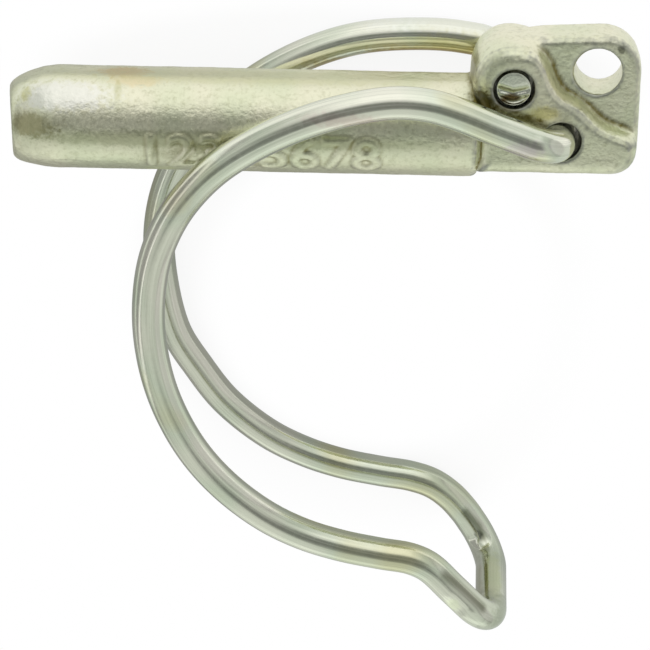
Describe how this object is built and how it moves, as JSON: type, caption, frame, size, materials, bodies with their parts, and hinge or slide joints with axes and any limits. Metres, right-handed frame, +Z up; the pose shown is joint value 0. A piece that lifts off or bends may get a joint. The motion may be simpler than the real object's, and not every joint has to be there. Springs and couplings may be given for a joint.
{
  "type": "wire lock pin",
  "caption": "Forged tube lock pin: a round tapered shaft with a flat eyed head that carries a sprung wire bow, which swings round a tube and catches the shaft near its tip.",
  "frame": {"origin": "under the middle of the box round both pieces, on the floor that the lower leg of the bow rests on", "axes": "+X along the shaft from its tip to its head, +Y from the hanging bow towards the shaft, +Z up, along both bores"},
  "size_m": [0.061, 0.0626, 0.0182],
  "materials": {
    "forging": "drop-forged steel, zinc plated with a pale yellow-green chromate, matt and grainy",
    "spring_wire": "drawn round spring wire, zinc plated and passivated, smooth and rather glossy"
  },
  "bodies": {
    "pin": {"lock_pin": "forging"},
    "bow": {"wire_bow": "spring_wire"}
  },
  "joints": [
    {"name": "bow_hinge", "type": "hinge", "parent": "pin", "child": "bow", "pos_m": [0.02286, 0.02156, 0.0091], "axis": [0, 0, -1], "range_deg": [-60, 75], "stiffness_Nm_per_rad": 0.12, "deforming": ["wire_bow"]}
  ]
}
